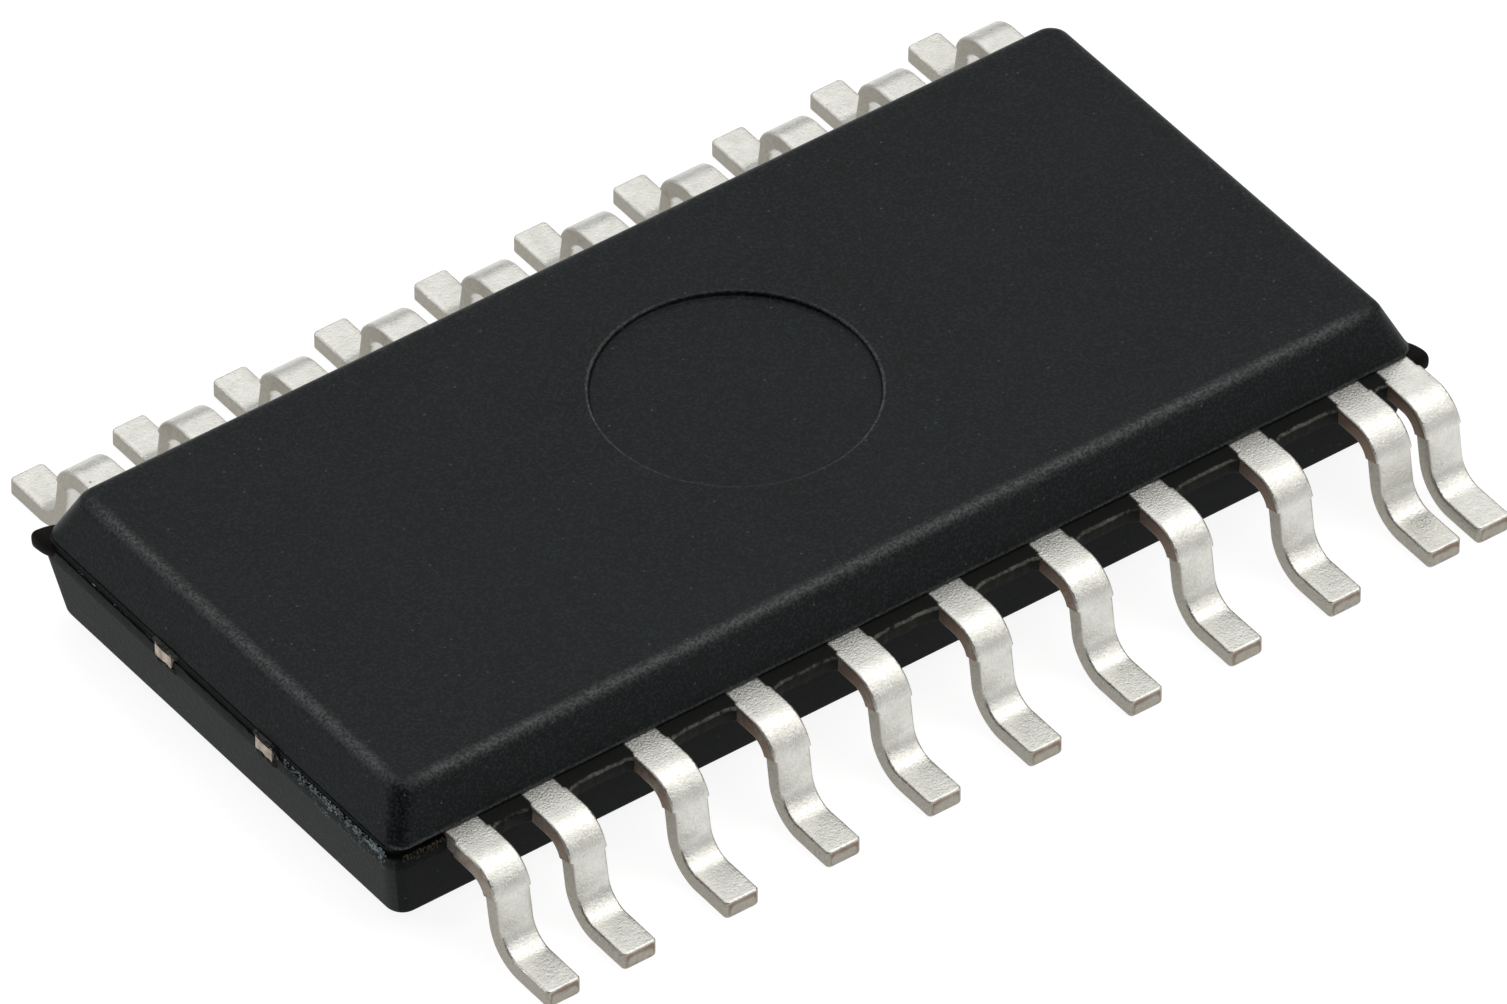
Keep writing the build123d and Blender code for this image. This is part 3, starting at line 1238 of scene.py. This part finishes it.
    def stations(self) -> list[Station]:
        """Cross-sections of the strip, with the steps of the dam-bar stub and the toe.

        Returns:
            The cross-sections, from the root to the middle of the toe's end face.
        """
        narrow = self.width / 2
        halves = {False: narrow, True: narrow + self.stub_extra}
        rows: list[Station] = []
        was_wide = False
        for out, up, heading in self.top_path():
            is_wide = self.in_stub(out, up)
            if is_wide != was_wide:
                back_out = out - self.stub_slope * math.cos(heading)
                back_up = up - self.stub_slope * math.sin(heading)
                rows.append(Station(back_out, back_up, heading, halves[was_wide]))
            rows.append(Station(out, up, heading, halves[is_wide]))
            was_wide = is_wide
        out, up, heading = rows.pop()[:3]
        rows = [row for row in rows if row.out < out - self.toe_radius]
        for k in range(9):
            to_end = self.toe_radius * (1 - math.sin(math.radians(90 * k / 8)))
            across = math.sqrt(max(0.0, self.toe_radius**2 - (self.toe_radius - to_end) ** 2))
            inside = max(0.0, self.toe_edge - to_end)
            lower = self.toe_edge - math.sqrt(max(0.0, self.toe_edge**2 - inside**2))
            half = narrow - (self.toe_radius - across)
            rows.append(Station(out - to_end, up, heading, half, lower, 0.15 + 0.5 * inside / self.toe_edge))
        for more, cut in ((0.008, 0.5), (0.022, 0.5), (0.036, 0.4), (0.05, 0.3)):
            half = narrow - self.toe_radius - more / 2
            rows.append(Station(out, up, heading, half, self.toe_edge + more, cut))
        return rows


@dataclass
class LeadRows:
    """Both rows of leads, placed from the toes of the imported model."""

    body: MouldedBody

    def toe_x(self, node: str) -> float:
        """Find the middle of a CAD lead's toe along the row.

        Args:
            node: Name of the lead's CAD node.

        Returns:
            Its place in millimetres.
        """
        mesh = frame["nodes"][node].data
        far = max(abs(v.co.y) for v in mesh.vertices)
        toe = [v.co.x for v in mesh.vertices if abs(v.co.y) > far - 0.01 * MM]
        return (min(toe) + max(toe)) / 2 / MM

    def places(self, row: Row) -> list[float]:
        """Places of a row's leads along X, in order."""
        nodes = sorted(n for n in frame["nodes"] if n.startswith(row.prefix))
        return [self.toe_x(n) for n in nodes]

    def build(self, tin: Material) -> None:
        """Build every lead.

        Args:
            tin: Finish of the leads.
        """
        for row in Row:
            for number, x in enumerate(self.places(row), start=1):
                GullWing(f"{row.prefix}{number:02d}", row, x, self.body.width / 2).build(tin)


# What is sealed inside


@dataclass
class SealedParts:
    """The paddle, glue, chip and bond wires, which keep their CAD shapes."""

    finishes: dict[Slot, Material]

    def dress(self) -> None:
        """Give every CAD node the finish of its slot."""
        slots = {row["node"]: Slot(row["material_slot"]) for row in frame["record"]["subparts"]}
        for name, node in frame["nodes"].items():
            finish = self.finishes[slots[name]]
            node.data.materials.clear()
            node.data.materials.append(finish)
            LOG.info("%s: CAD node, finish %s", name, finish.name)


# Studio


@dataclass
class Studio:
    """Pale sweep, soft light tent and the long-lens camera."""

    azimuth: float = -36.47
    elevation: float = 41.5
    distance: float = 250.0
    lens: float = 585.6
    aim_right: float = 0.2094
    aim_up: float = 0.2246
    sensor: float = 36.0
    clip_start: float = 10.0
    clip_end: float = 20000.0
    floor_half: float = 600.0
    floor_gap: float = 0.003
    tent_white: str = "#ffffff"
    tent_glow: float = 0.08

    def axes(self) -> tuple[Vector, Vector, Vector]:
        """Find the directions of the camera.

        Returns:
            Right, up and back.
        """
        a, e = math.radians(self.azimuth), math.radians(self.elevation)
        right = Vector((math.cos(a), math.sin(a), 0.0))
        back = Vector((math.sin(a) * math.cos(e), -math.cos(a) * math.cos(e), math.sin(e)))
        return right, back.cross(right), back

    def build_camera(self) -> None:
        """Create the camera and make it the scene's."""
        right, up, back = self.axes()
        data = bpy.data.cameras.new("camera")
        data.lens = self.lens
        data.sensor_width = self.sensor
        data.clip_start = self.clip_start * MM
        data.clip_end = self.clip_end * MM
        camera = bpy.data.objects.new("camera", data)
        place = right * self.aim_right + up * self.aim_up + back * self.distance
        turn = Matrix((right, up, back)).transposed().to_4x4()
        camera.matrix_world = Matrix.Translation(place * MM) @ turn
        bpy.context.scene.collection.objects.link(camera)
        bpy.context.scene.camera = camera

    def build_floor(self, finish: Material) -> None:
        """Lay the floor that the soles rest on.

        Args:
            finish: Finish of the floor.
        """
        half, low = self.floor_half, -self.floor_gap
        corners = [(-half, -half, low), (half, -half, low), (half, half, low), (-half, half, low)]
        mesh_piece("studio_floor", corners, [(0, 1, 2, 3)], finish)

    def add_area(self, name: str, place: Point3, size: Point2, power: float, colour: str) -> None:
        """Hang one soft box that points at the part.

        Args:
            name: Name of the light.
            place: Its place in millimetres.
            size: Its width and height in millimetres.
            power: Its power in watts.
            colour: Its colour.
        """
        data = bpy.data.lights.new(name, "AREA")
        data.shape = "RECTANGLE"
        data.size, data.size_y = size[0] * MM, size[1] * MM
        data.energy = power
        data.color = linear(colour)[:3]
        light = bpy.data.objects.new(name, data)
        light.location = Vector(place) * MM
        light.rotation_mode = "QUATERNION"
        light.rotation_quaternion = (-Vector(place)).to_track_quat("-Z", "Y")
        bpy.context.scene.collection.objects.link(light)

    def build_lights(self) -> None:
        """Hang the soft boxes and set the tent's own glow."""
        self.add_area("softbox_over", (60, 110, 250), (400, 400), 0.62, "#ffffff")
        self.add_area("softbox_front_right", (114, -94, 201), (275, 285), 0.33, "#fffefc")
        self.add_area("softbox_front_low", (115, -222, 46), (300, 92), 0.055, "#ffffff")
        self.add_area("card_back_low", (110, 225, 40), (320, 76), 0.048, "#ffffff")
        self.add_area("softbox_back_left", (-190, 175, 125), (150, 100), 0.20, "#f8fbff")
        world = bpy.data.worlds.new("tent")
        world.use_nodes = True
        backdrop = world.node_tree.nodes["Background"]
        backdrop.inputs["Color"].default_value = linear(self.tent_white)
        backdrop.inputs["Strength"].default_value = self.tent_glow
        bpy.context.scene.world = world
        bpy.context.scene.view_settings.view_transform = "Standard"


def build_finishes() -> dict[Slot, Material]:
    """Build the finish of each of the record's slots.

    Returns:
        Materials by slot.
    """
    finishes: dict[Slot, Finish] = {
        Slot.EPOXY: MouldedEpoxy("black_filled_epoxy_moulded"),
        Slot.TINNED_LEAD: MatteTin("matte_tin_plated_strip"),
        # Bare alloy, sheared: pinkish and dull, with a torn face
        Slot.LEADFRAME: PlainFinish("copper_alloy_sheared", "#c4bbae", "#8d7a6b", 0.11, 0.55, 0.4),
        # Silver flakes in glue: pale grey and rough
        Slot.DIE_ATTACH: PlainFinish("silver_filled_glue_dispensed", "#9a9a96", "#7f7f7b", 0.03, 0.6),
        # Polished silicon: dark and mirror-smooth
        Slot.SILICON: PlainFinish("silicon_polished", "#34373f", "#2b2e36", 0.4, 0.12, 0.0, 0.0005),
        # Drawn gold wire: yellow and bright
        Slot.BOND_WIRE: PlainFinish("gold_wire_drawn", "#e3b554", "#d6a445", 0.02, 0.2, 1.0, 0.001),
    }
    return {slot: finish.build() for slot, finish in finishes.items()}


def build_body(body: MouldedBody, epoxy: Material, flash: Material) -> None:
    """Build the body; the ends and the long sides of its lower half are lit and shaded copies of a rougher
    epoxy.

    Args:
        body: The body.
        epoxy: Finish of its upper half.
        flash: Finish of the torn resin in its groove.
    """
    # The ends of the lower mould half are rougher and shine less; their paler colour is painted light, a lit
    # copy
    ends = MouldedEpoxy(
        "black_filled_epoxy_coarser_painted_lit",
        colour="#161718",
        cloud_colour="#1c1d1d",
        pale_grain="#2a2c2c",
        speck_colour="#454b4b",
        roughness=0.58,
        sheen=0.06,
    )
    # The long sides are roughest, so they hardly mirror the white floor; their colour is painted shade,
    # darker than the ends'
    flanks = MouldedEpoxy(
        "black_filled_epoxy_coarsest_painted_shade",
        colour="#0f1010",
        cloud_colour="#131414",
        pale_grain="#1e2020",
        speck_colour="#3c4141",
        roughness=0.62,
        sheen=0.03,
    )
    body.build(epoxy, flash, ends.build(), flanks.build())


def build_resin(resin: PartingResin, flash: Material) -> None:
    """Build all the resin at the parting line.

    Args:
        resin: The resin.
        flash: Finish of the plain flash.
    """
    # The webs are painted paler than the flash, a lit copy of it in the shade under the lip, with a paler
    # torn line; the fine crumbs look dusty or brown
    webs = FlashResin("epoxy_webs_torn_painted_lit", colour="#191a18", torn_colour="#62635c").build()
    pale = FlashResin("epoxy_crumbs_pale", torn_colour="#7d878b").build()
    brown = FlashResin("epoxy_crumbs_brown", colour="#14110f", torn_colour="#3f382f").build()
    for row in Row:
        resin.build_webs(row, webs)
    resin.build_crumbs("crumbs_left", resin.left_spans(), pale)
    resin.build_crumbs("crumbs_front", resin.front_spans(), brown)
    for name, sign_x in ENDS.items():
        resin.build_nub(f"nub_{name}", sign_x, brown)
    resin.build_crumbs("crumbs_right", resin.right_spans(), flash)
    for name, sign_x in ENDS.items():
        resin.build_collars(f"collars_{name}", sign_x, flash)


def main() -> None:
    """Build every sub-assembly in order."""
    logging.basicConfig(level=logging.INFO, format="%(name)s: %(message)s")
    finishes = build_finishes()
    flash = FlashResin("epoxy_flash_torn").build()
    SealedParts(finishes).dress()
    body = MouldedBody()
    build_body(body, finishes[Slot.EPOXY], flash)
    rows = LeadRows(body)
    rows.build(finishes[Slot.TINNED_LEAD])
    build_resin(PartingResin(body, {row: rows.places(row) for row in Row}), flash)
    studio = Studio()
    studio.build_floor(LitAcrylic("white_acrylic_lit_from_below").build())
    studio.build_lights()
    studio.build_camera()


if __name__ == "__main__":
    main()
